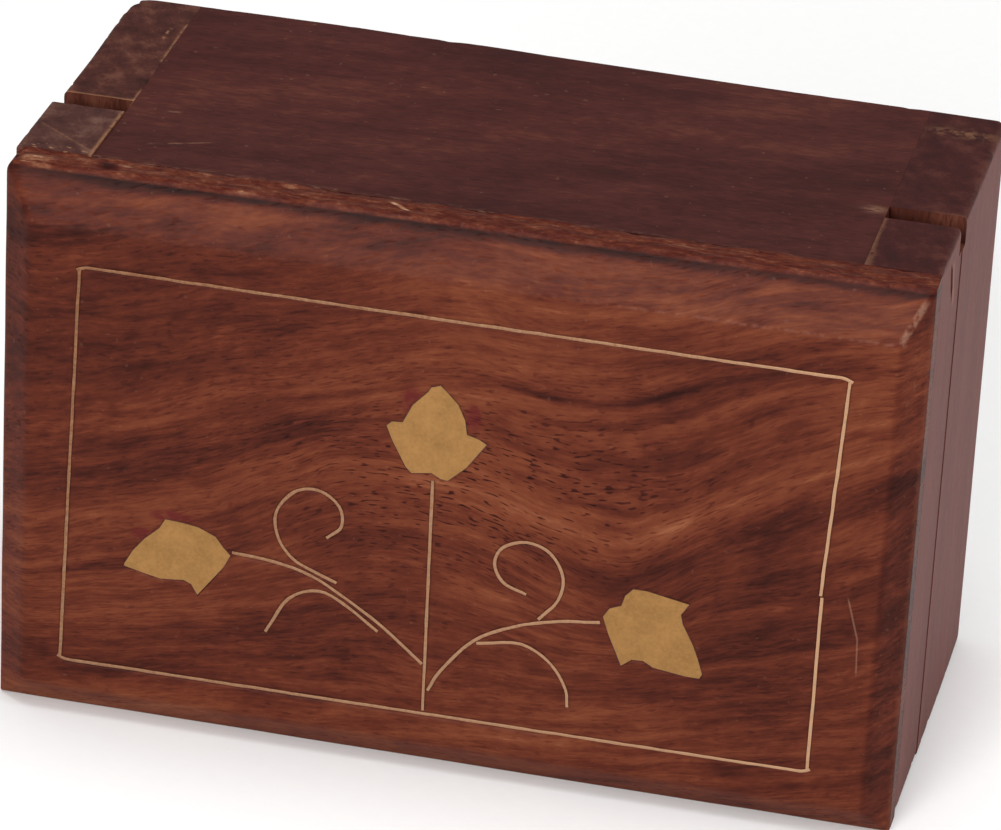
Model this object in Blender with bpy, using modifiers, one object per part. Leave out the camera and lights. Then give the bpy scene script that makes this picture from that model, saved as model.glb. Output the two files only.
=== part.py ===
"""A sheesham wood box for two decks of playing cards, standing on one long side.

The lid is a bevelled front panel with brass inlay and a batten glued behind each end.
A dovetail runner on the back of each batten slides in a groove in the case's end boards,
so the lid lifts straight up. The frame: +Z up, front towards -Y, origin under the centre.
"""

import math

import bmesh
import bpy
from mathutils import Matrix, Vector

MM = 0.001

# Driving dimensions of the closed box
WIDTH = 110.0 * MM
DEPTH = 54.0 * MM
HEIGHT = 71.0 * MM
END_THICK = 9.2 * MM
SIDE_THICK = 6.0 * MM
BACK_THICK = 4.5 * MM
PANEL_THICK = 6.7 * MM
SPLIT_DEPTH = 22.2 * MM  # front face to the joint between battens and end boards
GAP = 0.3 * MM  # glued faces and sliding faces alike
EDGE_ROUND = 0.5 * MM

# Hand-made offsets: the lid sits a little to the left, and the case stands a little low
LID_SHORT_RIGHT = 0.1 * MM
CASE_SHORT_LEFT = 0.5 * MM
CASE_LOW = 0.2 * MM

# The bevel round the front panel: how deep it runs, and how wide it is on each side
BEVEL_DEPTH = 3.0 * MM
BEVEL_LEFT = 3.8 * MM
BEVEL_RIGHT = 3.0 * MM
BEVEL_TOP = 6.5 * MM
BEVEL_BOTTOM = 3.8 * MM

# The mouth cut across batten and end board at the top of each joint
MOUTH_WIDTH = 3.8 * MM
MOUTH_DEPTH = 3.6 * MM

# Dovetail runners and their grooves
RUNNER_NECK = 3.0 * MM
RUNNER_TAIL = 4.4 * MM
RUNNER_REACH = 1.5 * MM
RUNNER_HOUSED = 1.5 * MM
RUNNER_BOTTOM = 7.1 * MM
RUNNER_TOP = HEIGHT - MOUTH_DEPTH - 0.5 * MM

# The rebate that holds the back panel, and its brads
REBATE = 3.0 * MM
BRAD_SHANK = 0.55 * MM
BRAD_HEAD = 0.9 * MM
BRAD_HEAD_THICK = 0.5 * MM
BRAD_LENGTH = 9.5 * MM
BRAD_X = (-32.0 * MM, 0.0, 32.0 * MM)
BRAD_INSET = 4.6 * MM
BRAD_STEPS = 12

# Brass inlay
WIRE_WIDTH = 0.36 * MM
INLAY_THICK = 1.3 * MM
INLAY_GAP = 0.15 * MM

FRONT = -DEPTH / 2
BACK = DEPTH / 2
SPLIT = FRONT + SPLIT_DEPTH
INNER = WIDTH / 2 - END_THICK
CASE_TOP = HEIGHT - CASE_LOW
RUNNER_X = WIDTH / 2 - END_THICK / 2

# Inlay wires as (x, z) in millimetres from the box's centre line and its base
WIRES = {
    "border_top": [(-45.3, 59.7), (46.6, 59.6)],
    "border_bottom": [(-46.9, 7.5), (45.3, 8.0)],
    "border_left": [(-45.05, 59.25), (-46.6, 7.95)],
    "border_right_upper": [(46.3, 59.15), (44.9, 31.5)],
    "border_right_lower": [(45.1, 31.2), (45.0, 8.45)],
    "stem": [(-1.7, 38.8), (-1.6, 8.2)],
    "branch_left": [
        (-25.1, 25.35), (-20.4, 25.0), (-15.7, 23.8), (-11.3, 21.4), (-6.8, 18.4), (-2.35, 14.7),
    ],
    "curl_left": [
        (-13.8, 29.5), (-12.4, 31.0), (-12.8, 33.6), (-15.3, 35.3), (-18.3, 34.6), (-20.4, 31.5),
        (-20.0, 28.2), (-18.1, 25.7), (-15.3, 24.4), (-13.2, 23.6),
    ],
    "tendril_left": [(-21.0, 15.9), (-18.5, 20.4), (-14.9, 22.0), (-11.5, 20.6), (-7.9, 18.05)],
    "branch_right": [
        (-0.9, 11.4), (0.3, 13.8), (4.1, 18.5), (8.8, 21.2), (14.0, 22.8), (18.7, 23.5),
    ],
    "curl_right": [
        (12.1, 23.1), (14.0, 25.6), (14.5, 28.6), (12.8, 31.6), (9.9, 32.6), (7.1, 31.5),
        (6.2, 29.2), (7.3, 26.9), (9.7, 25.9),
    ],
    "tendril_right": [(5.0, 18.35), (9.9, 19.1), (13.6, 17.0), (15.5, 14.0), (15.8, 12.1)],
}

# Inlay leaves, each an outline in the same units
LEAVES = {
    "bud_leaf": [
        (-2.7, 50.2), (-2.4, 50.8), (-1.3, 51.2), (-0.7, 50.7), (0.9, 49.1), (1.8, 47.2),
        (2.1, 45.4), (3.6, 45.0), (4.5, 44.5), (2.2, 41.1), (0.1, 39.1), (-0.8, 39.2), (-1.9, 39.8),
        (-4.3, 39.4), (-5.0, 40.1), (-6.8, 43.4), (-7.5, 45.1), (-6.9, 45.7), (-5.6, 45.8),
        (-4.5, 48.2),
    ],
    "left_leaf": [
        (-38.8, 21.7), (-37.8, 23.6), (-36.4, 25.4), (-34.6, 27.1), (-33.9, 28.4), (-31.9, 28.3),
        (-29.8, 28.0), (-27.7, 27.1), (-26.6, 25.7), (-25.8, 24.9), (-26.6, 23.2), (-29.7, 19.0),
        (-30.5, 20.3), (-31.4, 20.7), (-34.3, 20.4), (-36.7, 20.9), (-38.8, 21.4),
    ],
    "right_leaf": [
        (19.5, 24.4), (20.2, 25.6), (21.6, 26.2), (22.0, 27.6), (22.9, 28.6), (24.6, 28.6),
        (29.6, 27.7), (28.7, 26.2), (29.0, 25.0), (30.4, 22.4), (31.1, 20.6), (31.7, 18.8),
        (31.4, 18.2), (29.7, 18.2), (25.8, 18.7), (24.6, 19.4), (23.2, 19.3), (22.0, 18.3),
        (20.2, 22.4),
    ],
}

COLOURS = {
    "panel_wood": (0.30, 0.10, 0.05),
    "case_wood": (0.17, 0.065, 0.045),
    "batten_wood": (0.22, 0.10, 0.07),
    "runner_wood": (0.36, 0.20, 0.11),
    "brass": (0.72, 0.48, 0.20),
    "steel": (0.45, 0.44, 0.42),
}


def clear_scene():
    for obj in list(bpy.data.objects):
        bpy.data.objects.remove(obj, do_unlink=True)


def new_collection(name, hidden=False):
    collection = bpy.data.collections.new(name)
    collection.hide_render = hidden
    bpy.context.scene.collection.children.link(collection)
    return collection


def new_material(name, metallic=0.0, roughness=0.5):
    material = bpy.data.materials.new(name)
    material.use_nodes = True
    shader = material.node_tree.nodes["Principled BSDF"]
    shader.inputs["Base Color"].default_value = (*COLOURS[name], 1.0)
    shader.inputs["Metallic"].default_value = metallic
    shader.inputs["Roughness"].default_value = roughness
    material.diffuse_color = (*COLOURS[name], 1.0)
    return material


def add(name, data, collection, material=None):
    obj = bpy.data.objects.new(name, data)
    collection.objects.link(obj)
    if material:
        data.materials.append(material)
    if collection.hide_render:
        obj.hide_render = True
        obj.display_type = "WIRE"
    return obj


def box_mesh(name, low, high):
    """A box between two corners, with its origin at its middle."""
    size = Vector(high) - Vector(low)
    bm = bmesh.new()
    bmesh.ops.create_cube(bm, size=1.0, matrix=Matrix.Diagonal((*size, 1.0)))
    mesh = bpy.data.meshes.new(name)
    bm.to_mesh(mesh)
    bm.free()
    return mesh


def block(name, low, high, collection, material=None):
    obj = add(name, box_mesh(name, low, high), collection, material)
    obj.location = (Vector(low) + Vector(high)) / 2
    return obj


def board(name, low, high, material):
    """A block with its edges eased by hand."""
    obj = block(name, low, high, PIECES, material)
    ease_edges(obj)
    return obj


def ease_edges(obj):
    bevel = obj.modifiers.new("eased_edges", "BEVEL")
    bevel.width = EDGE_ROUND
    bevel.segments = 2
    bevel.limit_method = "ANGLE"
    obj.data.shade_smooth()


def cut(obj, cutter):
    boolean = obj.modifiers.new(cutter.name, "BOOLEAN")
    boolean.operation = "DIFFERENCE"
    boolean.object = cutter


def as_mesh_object(obj):
    """The evaluated shape of a curve as a welded mesh object in the curve's place."""
    bpy.context.view_layer.update()
    graph = bpy.context.evaluated_depsgraph_get()
    mesh = bpy.data.meshes.new_from_object(obj.evaluated_get(graph))
    bm = bmesh.new()
    bm.from_mesh(mesh)
    bmesh.ops.remove_doubles(bm, verts=bm.verts, dist=0.001 * MM)
    bmesh.ops.recalc_face_normals(bm, faces=bm.faces)
    bm.to_mesh(mesh)
    bm.free()
    name = obj.name
    matrix = obj.matrix_world.copy()
    collection = obj.users_collection[0]
    bpy.data.objects.remove(obj, do_unlink=True)
    made = add(name, mesh, collection)
    made.matrix_world = matrix
    return made


def flat_curve(name, points, closed, collection, material=None):
    """A 2D curve through (x, y) points in metres."""
    curve = bpy.data.curves.new(name, "CURVE")
    curve.dimensions = "2D"
    curve.fill_mode = "BOTH" if closed else "NONE"
    spline = curve.splines.new("POLY")
    spline.points.add(len(points) - 1)
    for point, (x, y) in zip(spline.points, points):
        point.co = (x, y, 0.0, 1.0)
    spline.use_cyclic_u = closed
    return add(name, curve, collection, material)


def face_front(obj, thick, proud=0.0):
    """Stand a flat shape upright in the front face, as thick as given, reaching out by proud."""
    obj.data.extrude = (thick + proud) / 2
    obj.rotation_euler = (math.pi / 2, 0.0, 0.0)
    obj.location = (0.0, FRONT + (thick - proud) / 2, 0.0)


def smooth_path(points, steps=4):
    """Catmull-Rom points through the given ones, so that a wire bends evenly."""
    if len(points) == 2:
        return list(points)
    padded = [2 * points[0] - points[1], *points, 2 * points[-1] - points[-2]]
    path = []
    for before, start, end, after in zip(padded, padded[1:], padded[2:], padded[3:]):
        for step in range(steps):
            t = step / steps
            path.append(
                0.5 * (2 * start + (end - before) * t
                       + (2 * before - 5 * start + 4 * end - after) * t ** 2
                       + (3 * start - before - 3 * end + after) * t ** 3)
            )
    return path + [points[-1]]


def lengthened(path, extra):
    """The same path, run on at both ends."""
    start = path[0] + (path[0] - path[1]).normalized() * extra
    end = path[-1] + (path[-1] - path[-2]).normalized() * extra
    return [start, *path[1:-1], end]


def outset(outline, distance):
    """A closed outline with every side moved out, for a clockwise outline."""
    moved = []
    count = len(outline)
    for i, corner in enumerate(outline):
        along_in = (corner - outline[i - 1]).normalized()
        along_out = (outline[(i + 1) % count] - corner).normalized()
        out_in = Vector((-along_in.y, along_in.x))
        out_out = Vector((-along_out.y, along_out.x))
        middle = (out_in + out_out).normalized()
        moved.append(corner + middle * distance / max(middle.dot(out_in), 0.5))
    return moved


def strip(name, path, width, collection, material=None):
    """A wire rolled flat and set on edge: a ribbon along the path, thickened."""
    obj = flat_curve(name, path, False, collection, material)
    solidify = obj.modifiers.new("strip_width", "SOLIDIFY")
    solidify.thickness = width
    solidify.offset = 0.0
    return obj


def inlay_wire(name, points):
    path = smooth_path([Vector(p) * MM for p in points])
    face_front(strip(name, path, WIRE_WIDTH, PIECES, BRASS), INLAY_THICK)
    groove = strip(
        name + "_groove", lengthened(path, INLAY_GAP), WIRE_WIDTH + 2 * INLAY_GAP, INLAY_CUTTERS
    )
    face_front(groove, INLAY_THICK + GAP, 1.0 * MM)
    as_mesh_object(groove)


def inlay_leaf(name, points):
    outline = [Vector(p) * MM for p in points]
    face_front(flat_curve(name, outline, True, PIECES, BRASS), INLAY_THICK)
    recess = flat_curve(name + "_recess", outset(outline, INLAY_GAP), True, INLAY_CUTTERS)
    face_front(recess, INLAY_THICK + GAP, 1.0 * MM)
    as_mesh_object(recess)


def lid_panel():
    """The front panel: a slab whose front face is drawn out and narrowed into the bevel."""
    low = Vector((-WIDTH / 2, FRONT + BEVEL_DEPTH, GAP))
    high = Vector((WIDTH / 2 - LID_SHORT_RIGHT, FRONT + PANEL_THICK, HEIGHT))
    obj = block("lid_panel", low, high, PIECES, PANEL_WOOD)
    bm = bmesh.new()
    bm.from_mesh(obj.data)
    front = min(bm.faces, key=lambda face: face.calc_center_median().y)
    drawn = bmesh.ops.extrude_discrete_faces(bm, faces=[front])["faces"][0]
    for vert in drawn.verts:
        vert.co.y -= BEVEL_DEPTH
        vert.co.x += BEVEL_LEFT if vert.co.x < 0 else -BEVEL_RIGHT
        vert.co.z += BEVEL_BOTTOM if vert.co.z < 0 else -BEVEL_TOP
    bm.to_mesh(obj.data)
    bm.free()
    ease_edges(obj)
    boolean = obj.modifiers.new("inlay", "BOOLEAN")
    boolean.operation = "DIFFERENCE"
    boolean.operand_type = "COLLECTION"
    boolean.collection = INLAY_CUTTERS


def dovetail(name, side, clearance, bottom, top, collection, material=None):
    """A dovetail bar along Z. Its neck lies in the joint, and its tail in the end board."""
    neck = RUNNER_NECK / 2 + clearance
    tail = RUNNER_TAIL / 2 + clearance
    reach = RUNNER_REACH + clearance
    outline = [
        (-neck, -RUNNER_HOUSED), (neck, -RUNNER_HOUSED), (neck, 0.0),
        (tail, reach), (-tail, reach), (-neck, 0.0),
    ]
    obj = flat_curve(name, outline, True, collection, material)
    obj.data.extrude = (top - bottom) / 2
    obj.location = (side * RUNNER_X, SPLIT, (top + bottom) / 2)
    return obj


def runner_and_batten(side, word):
    """One end of the lid: the batten glued behind the panel, and the runner let into its back."""
    outer = WIDTH / 2 if side < 0 else WIDTH / 2 - LID_SHORT_RIGHT
    low = Vector((min(side * outer, side * INNER), FRONT + PANEL_THICK + GAP, GAP))
    high = Vector((max(side * outer, side * INNER), SPLIT - GAP / 2, HEIGHT))
    batten = board(f"lid_batten_{word}", low, high, BATTEN_WOOD)
    housing = block(
        f"housing_{word}",
        (side * RUNNER_X - RUNNER_NECK / 2 - GAP, SPLIT - RUNNER_HOUSED - GAP, RUNNER_BOTTOM - GAP),
        (side * RUNNER_X + RUNNER_NECK / 2 + GAP, SPLIT + GAP, HEIGHT - MOUTH_DEPTH + GAP),
        CUTTERS,
    )
    cut(batten, housing)
    cut(batten, MOUTHS[word])
    dovetail(f"lid_runner_{word}", side, 0.0, RUNNER_BOTTOM, RUNNER_TOP, PIECES, RUNNER_WOOD)


def mouth(side, word):
    half = MOUTH_WIDTH / 2
    return block(
        f"mouth_{word}",
        (min(side * INNER, side * WIDTH) - GAP, SPLIT - half, HEIGHT - MOUTH_DEPTH),
        (max(side * INNER, side * WIDTH) + GAP, SPLIT + half, HEIGHT + SIDE_THICK),
        CUTTERS,
    )


def end_board(side, word):
    outer = WIDTH / 2 if side > 0 else WIDTH / 2 - CASE_SHORT_LEFT
    low = Vector((min(side * outer, side * INNER), SPLIT + GAP / 2, 0.0))
    high = Vector((max(side * outer, side * INNER), BACK, CASE_TOP))
    obj = board(f"end_board_{word}", low, high, END_WOOD)
    groove = dovetail(
        f"runner_groove_{word}", side, GAP, RUNNER_BOTTOM - GAP, HEIGHT + SIDE_THICK, CUTTERS
    )
    cut(obj, as_mesh_object(groove))
    cut(obj, MOUTHS[word])
    cut(obj, BACK_REBATE)


def back_rebate():
    """The space that the back panel takes out of the four boards' rear inner edges."""
    return block(
        "back_rebate",
        (-INNER - REBATE, BACK - BACK_THICK - 2 * GAP, SIDE_THICK - REBATE),
        (INNER + REBATE, BACK + SIDE_THICK, CASE_TOP - SIDE_THICK + REBATE),
        CUTTERS,
    )


def side_board(name, bottom, brad_holes):
    low = (-INNER + GAP, FRONT + PANEL_THICK + GAP, bottom)
    high = (INNER - GAP, BACK, bottom + SIDE_THICK)
    obj = board(name, low, high, CASE_WOOD)
    cut(obj, BACK_REBATE)
    for hole in brad_holes:
        cut(obj, hole)


def back_panel(brad_holes):
    low = (-INNER - REBATE + GAP, BACK - BACK_THICK - GAP, SIDE_THICK - REBATE + GAP)
    high = (INNER + REBATE - GAP, BACK - GAP, CASE_TOP - SIDE_THICK + REBATE - GAP)
    obj = board("back_panel", low, high, BACK_WOOD)
    for hole in brad_holes:
        cut(obj, hole)


def turned(name, profile, collection, material=None):
    """A round piece about Z from an (r, z) profile that runs from its top to its bottom."""
    mesh = bpy.data.meshes.new(name)
    bm = bmesh.new()
    verts = [bm.verts.new((r, 0.0, z)) for r, z in profile]
    for first, second in zip(verts, verts[1:]):
        bm.edges.new((first, second))
    bm.to_mesh(mesh)
    bm.free()
    obj = add(name, mesh, collection, material)
    screw = obj.modifiers.new("turned", "SCREW")
    screw.steps = BRAD_STEPS
    screw.render_steps = BRAD_STEPS
    screw.use_merge_vertices = True
    screw.merge_threshold = 0.001 * MM
    screw.use_smooth_shade = True
    return obj


def brad_profile(clearance, proud):
    head = BRAD_HEAD + clearance
    shank = BRAD_SHANK + clearance
    shoulder = -BRAD_HEAD_THICK - clearance
    tip = -BRAD_LENGTH - clearance
    return [(0.0, proud), (head, proud), (head, shoulder), (shank, shoulder - shank / 4),
            (shank, tip + 2 * shank), (0.0, tip)]


def brad(name, x, z):
    """A brad driven in from behind, and the hole that it stands in."""
    pin = turned(name, brad_profile(0.0, 0.0), PIECES, STEEL)
    hole = turned(name + "_hole", brad_profile(INLAY_GAP, 2.0 * MM), CUTTERS)
    for obj in (pin, hole):
        obj.rotation_euler = (-math.pi / 2, 0.0, 0.0)
        obj.location = (x, BACK - GAP, z)
    return hole


def row_of_brads(word, z):
    return [brad(f"back_brad_{word}_{i}", x, z) for i, x in enumerate(BRAD_X, 1)]


clear_scene()
PIECES = new_collection("sheesham_card_box")
CUTTERS = new_collection("cutters", hidden=True)
INLAY_CUTTERS = new_collection("inlay_cutters", hidden=True)

PANEL_WOOD = new_material("panel_wood", roughness=0.42)
CASE_WOOD = new_material("case_wood", roughness=0.55)
BATTEN_WOOD = new_material("batten_wood", roughness=0.6)
END_WOOD = BATTEN_WOOD
BACK_WOOD = CASE_WOOD
RUNNER_WOOD = new_material("runner_wood", roughness=0.7)
BRASS = new_material("brass", metallic=1.0, roughness=0.38)
STEEL = new_material("steel", metallic=1.0, roughness=0.45)

SIDES = {"left": -1, "right": 1}
MOUTHS = {word: mouth(side, word) for word, side in SIDES.items()}
BACK_REBATE = back_rebate()

for wire_name, wire_points in WIRES.items():
    inlay_wire(wire_name, wire_points)
for leaf_name, leaf_points in LEAVES.items():
    inlay_leaf(leaf_name, leaf_points)
lid_panel()
for side_word, side_sign in SIDES.items():
    runner_and_batten(side_sign, side_word)
    end_board(side_sign, side_word)

lower_holes = row_of_brads("bottom", BRAD_INSET)
upper_holes = row_of_brads("top", CASE_TOP - BRAD_INSET)
side_board("bottom_board", 0.0, lower_holes)
side_board("top_board", CASE_TOP - SIDE_THICK, upper_holes)
back_panel(lower_holes + upper_holes)
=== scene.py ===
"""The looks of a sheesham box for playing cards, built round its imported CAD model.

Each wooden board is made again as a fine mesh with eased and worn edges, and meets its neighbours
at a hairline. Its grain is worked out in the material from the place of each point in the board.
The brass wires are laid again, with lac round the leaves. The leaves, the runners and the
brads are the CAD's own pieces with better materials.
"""

import math

import bmesh
import bpy
import numpy as np
from mathutils import Matrix, Vector


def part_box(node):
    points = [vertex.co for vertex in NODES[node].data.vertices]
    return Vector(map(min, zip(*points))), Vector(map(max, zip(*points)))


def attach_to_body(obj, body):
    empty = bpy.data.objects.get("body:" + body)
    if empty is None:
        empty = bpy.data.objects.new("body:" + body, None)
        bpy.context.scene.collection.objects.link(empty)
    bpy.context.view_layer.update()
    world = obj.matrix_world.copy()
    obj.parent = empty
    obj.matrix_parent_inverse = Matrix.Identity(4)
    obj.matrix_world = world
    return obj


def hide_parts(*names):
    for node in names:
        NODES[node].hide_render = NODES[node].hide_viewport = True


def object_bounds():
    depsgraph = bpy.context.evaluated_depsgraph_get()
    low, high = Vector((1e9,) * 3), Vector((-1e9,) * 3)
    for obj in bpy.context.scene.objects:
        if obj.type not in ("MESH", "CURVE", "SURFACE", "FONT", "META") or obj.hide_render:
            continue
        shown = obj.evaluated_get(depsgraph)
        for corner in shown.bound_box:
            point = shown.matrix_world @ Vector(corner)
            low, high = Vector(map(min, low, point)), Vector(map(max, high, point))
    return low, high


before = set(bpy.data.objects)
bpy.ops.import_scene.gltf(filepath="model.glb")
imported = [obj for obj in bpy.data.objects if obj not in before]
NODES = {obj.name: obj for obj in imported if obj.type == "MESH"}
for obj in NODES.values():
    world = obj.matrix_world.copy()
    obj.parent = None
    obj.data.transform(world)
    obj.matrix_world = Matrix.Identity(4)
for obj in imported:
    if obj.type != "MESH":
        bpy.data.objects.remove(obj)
CAD_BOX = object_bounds()
CENTRE = (CAD_BOX[0] + CAD_BOX[1]) / 2
PANEL_LOW, PANEL_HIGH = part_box("lid_panel")

MM = 0.001
HAIRLINE = 0.01 * MM  # a glued seam
SLIDE_GAP = 0.05 * MM  # beside the side boards that the lid slides past
SPLIT_GAP = 0.02 * MM  # half the gap between the battens and the end boards
SEAM_ROUND = 0.02 * MM  # edges that were planed flush after gluing
PANEL_ROUND = 0.22 * MM
PANEL_LOWER = 0.3 * MM  # the panel reaches down to the table
OUTER_ROUND = 0.6 * MM  # edges that a hand has rubbed for years
PANEL_CORNER = 1.9 * MM  # the panel's top left corner, as seen from the front
CORNER_RAISED = 0.75 * MM  # how far the case has warped up at its left rear corner
CHIP_DEPTH = 0.35 * MM
HOLLOW_DEPTH = 0.04 * MM
SAW_ROUGHNESS = 0.12 * MM
SHARP_EDGE = math.radians(38.0)
WIRE_SHARP_EDGE = math.radians(60.0)
WIRE_WIDTH = 0.38 * MM
BORDER_RUN_ON = 0.05 * MM  # a wire reaches on to touch its neighbour
BRANCH_RUN_ON = 0.50 * MM
WIRE_DEPTH = 1.2 * MM
WIRE_GAP = 0.05 * MM  # wood to wire
LEAF_GAP = 0.09 * MM  # wood to leaf
LAC_LOW = 0.03 * MM  # how far the lac lies under the face
WIRE_STEP = 0.35 * MM
WIRE_SWAY = 0.035 * MM  # how far a wire strays from its line
WIRE_CROWN = 0.03 * MM
HOOK_BEND = 0.42 * MM  # how far a long border wire bends in at its ends
HOOK_REACH = 1.5 * MM

# The bevel round the front of the lid
BEVEL_DEPTH = 3.0 * MM
BEVEL_LEFT = 3.8 * MM
BEVEL_RIGHT = 3.0 * MM
BEVEL_TOP = 6.5 * MM
BEVEL_BOTTOM = 3.8 * MM
BEVEL_SOFT = 0.045  # how blunt its edges are, as a share of its width
FACE_WAVE = 0.02 * MM
TORN_DEPTH = 0.25 * MM  # how far splinters are missing from the top edge
TORN_REACH = 0.8 * MM

# The mouth at the top of each joint, and the groove under it
MOUTH_WIDTH = 3.8 * MM
MOUTH_DEPTH = 3.6 * MM
RUNNER_NECK = 3.0 * MM
RUNNER_TAIL = 4.4 * MM
RUNNER_REACH = 1.5 * MM
RUNNER_HOUSED = 1.5 * MM
RUNNER_CLEARANCE = 0.3 * MM
GROOVE_TOP = 3.0 * MM  # below the panel's top edge, so that the groove opens into the mouth
MOUTH_PAST_SIDE = 4.0 * MM  # how far the cutters reach out of the wood
MOUTH_PAST_TOP = 2.0 * MM
REBATE_PAST_BACK = 9.0 * MM

# Grid lines close to an edge, so that it can be rounded, as distances from it
EDGE_LINES = tuple(d * MM for d in (0.0, 0.12, 0.25, 0.4, 0.6, 0.85, 1.15, 1.5, 2.0))

BOARDS = {
    "lid": ("lid_panel", "lid_batten_left", "lid_batten_right"),
    "case": ("end_board_left", "end_board_right", "top_board", "bottom_board"),
}
BRANCHES = ("branch", "curl", "tendril")

# The crack in the right batten, from the top down: y, z and half its width in mm
CRACK = ((-12.9, 69.2, 0.05), (-12.2, 67.8, 0.80), (-11.3, 65.6, 0.95), (-10.5, 63.2, 0.05))
CRACK_DEPTH = 1.4 * MM
CRACK_PAST = 0.4 * MM
CRACK_LEAN = 0.3  # mm, how far its bottom lies behind its mouth

# Radius of the closed box's upright edges in plan, by (right, rear)
CORNER_ROUND = {
    (False, False): 0.9 * MM,
    (True, False): 0.7 * MM,
    (False, True): 3.6 * MM,
    (True, True): 1.4 * MM,
}

LENS = 212.6
SENSOR = 36.0
CAMERA_AZIMUTH = math.radians(11.91)
CAMERA_ELEVATION = math.radians(26.24)
CAMERA_ROLL = math.radians(-3.08)
CAMERA_DISTANCE = 0.7146
CAMERA_RIGHT = 0.00023
CAMERA_DOWN = 0.00048

# The studio's lights: name, place, size and power
LIGHTS = (
    ("key", (-0.20, -1.15, 0.55), 0.6, 12.0),
    ("overhead", (0.10, 0.05, 1.30), 1.0, 8.0),
    ("side", (1.00, -0.20, 0.45), 0.7, 4.6),
)
SKY_STRENGTH = 0.40
SKY_COLOUR = (1.0, 0.985, 0.97, 1.0)
FLOOR_SIZE = 6.0
FLOOR_GAP = 0.05 * MM


# Meshes


def value_noise(points, size, seed):
    """Smooth noise from -1 to 1, with lumps of the given size in mm, or one size for each axis."""
    table = np.random.default_rng(seed).uniform(-1.0, 1.0, 4096)
    place = points / (np.asarray(size) * MM)
    cell = np.floor(place).astype(np.int64)
    part = place - cell
    part = part * part * (3.0 - 2.0 * part)
    total = np.zeros(len(points))
    for corner in np.ndindex(2, 2, 2):
        weight = np.prod(np.where(corner, part, 1.0 - part), axis=1)
        key = (cell + corner) @ np.array([73856093, 19349663, 83492791])
        total += weight * table[key % len(table)]
    return total


def grid_lines(low, high, cell):
    """Lines from low to high: close together near both ends, and about a cell apart between."""
    near = [d for d in EDGE_LINES if d < (high - low) * 0.45]
    count = max(2, round((high - low - 2 * near[-1]) / cell))
    middle = np.linspace(low + near[-1], high - near[-1], count + 1)
    return np.concatenate([[low + d for d in near[:-1]], middle, [high - d for d in near[-2::-1]]])


def box_shell(low, high, cells):
    """Points and quads of a box's surface on a grid, its cells in mm."""
    lines = [grid_lines(low[i], high[i], cells[i] * MM) for i in range(3)]
    quads = []
    for axis in range(3):
        u, v = (axis + 1) % 3, (axis + 2) % 3
        for end in (0, len(lines[axis]) - 1):
            grid = np.empty((len(lines[u]), len(lines[v]), 3), int)
            grid[..., axis] = end
            grid[..., u] = np.arange(len(lines[u]))[:, None]
            grid[..., v] = np.arange(len(lines[v]))[None, :]
            corners = [grid[:-1, :-1], grid[1:, :-1], grid[1:, 1:], grid[:-1, 1:]]
            if end == 0:
                corners.reverse()
            quads.append(np.stack(corners, axis=2).reshape(-1, 4, 3))
    address, index = np.unique(np.concatenate(quads).reshape(-1, 3), axis=0, return_inverse=True)
    points = np.column_stack([lines[i][address[:, i]] for i in range(3)])
    return points, index.reshape(-1, 4)


def eased(points, low, high, radius):
    """The points of a box's surface, moved so that its edges and corners are round."""
    radius = np.minimum(radius, (high - low).min() * 0.45)[:, None]
    core = np.clip(points, low + radius, high - radius)
    out = points - core
    return core + out / np.linalg.norm(out, axis=1)[:, None] * radius


def edge_distance(points, low, high):
    """How far each surface point is from the nearest edge of a box."""
    gaps = np.sort(np.abs(np.minimum(points - low, high - points)), axis=1)
    return gaps[:, 1]


def body_box(body):
    """The closed box's bounds, with the width and height of the lid or the case alone."""
    low = np.min([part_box(name)[0] for name in BOARDS[body]], axis=0)
    high = np.max([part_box(name)[1] for name in BOARDS[body]], axis=0)
    low[1], high[1] = CAD_BOX[0].y, CAD_BOX[1].y
    return low, high


def rounded_outside(points, low, high):
    """Round the outer edges of a whole body, in the same way on each of its boards."""
    radius = OUTER_ROUND * (1.0 + 0.45 * value_noise(points, 9, 5))[:, None]
    core = np.clip(points, low + radius, high - radius)
    out = points - core
    length = np.maximum(np.linalg.norm(out, axis=1), 1e-9)
    return core + out * (np.abs(out).max(axis=1) / length)[:, None]


def round_corner(points, axes, corner, inward, radius):
    """Round one edge of a solid, which is a corner in the plane of two axes."""
    core = corner + inward * radius
    out = (points[:, axes] - core) * -inward
    inside = (out > 0).all(axis=1)
    share = out[inside].max(axis=1) / np.linalg.norm(out[inside], axis=1)
    points[np.ix_(inside, axes)] = core - inward * out[inside] * share[:, None]


def rounded_corners(points):
    """Round the closed box's four upright edges in plan, each by its own radius."""
    low, high = np.array(CAD_BOX[0]), np.array(CAD_BOX[1])
    shaped = points.copy()
    for (right, rear), radius in CORNER_ROUND.items():
        corner = np.array([high[0] if right else low[0], high[1] if rear else low[1]])
        inward = np.array([-1.0 if right else 1.0, -1.0 if rear else 1.0])
        round_corner(shaped, [0, 1], corner, inward, radius)
    return shaped


def new_object(name, data):
    obj = bpy.data.objects.new(name, data)
    bpy.context.scene.collection.objects.link(obj)
    return obj


def object_from_quads(name, points, quads):
    mesh = bpy.data.meshes.new(name)
    mesh.from_pydata(points.tolist(), [], quads.tolist())
    mesh.validate()
    mesh.update()
    return new_object(name, mesh)


def object_from_solid(name, bm):
    """An object from a bmesh of a closed solid, its faces turned outward."""
    bmesh.ops.recalc_face_normals(bm, faces=bm.faces)
    mesh = bpy.data.meshes.new(name)
    bm.to_mesh(mesh)
    bm.free()
    return new_object(name, mesh)


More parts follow.
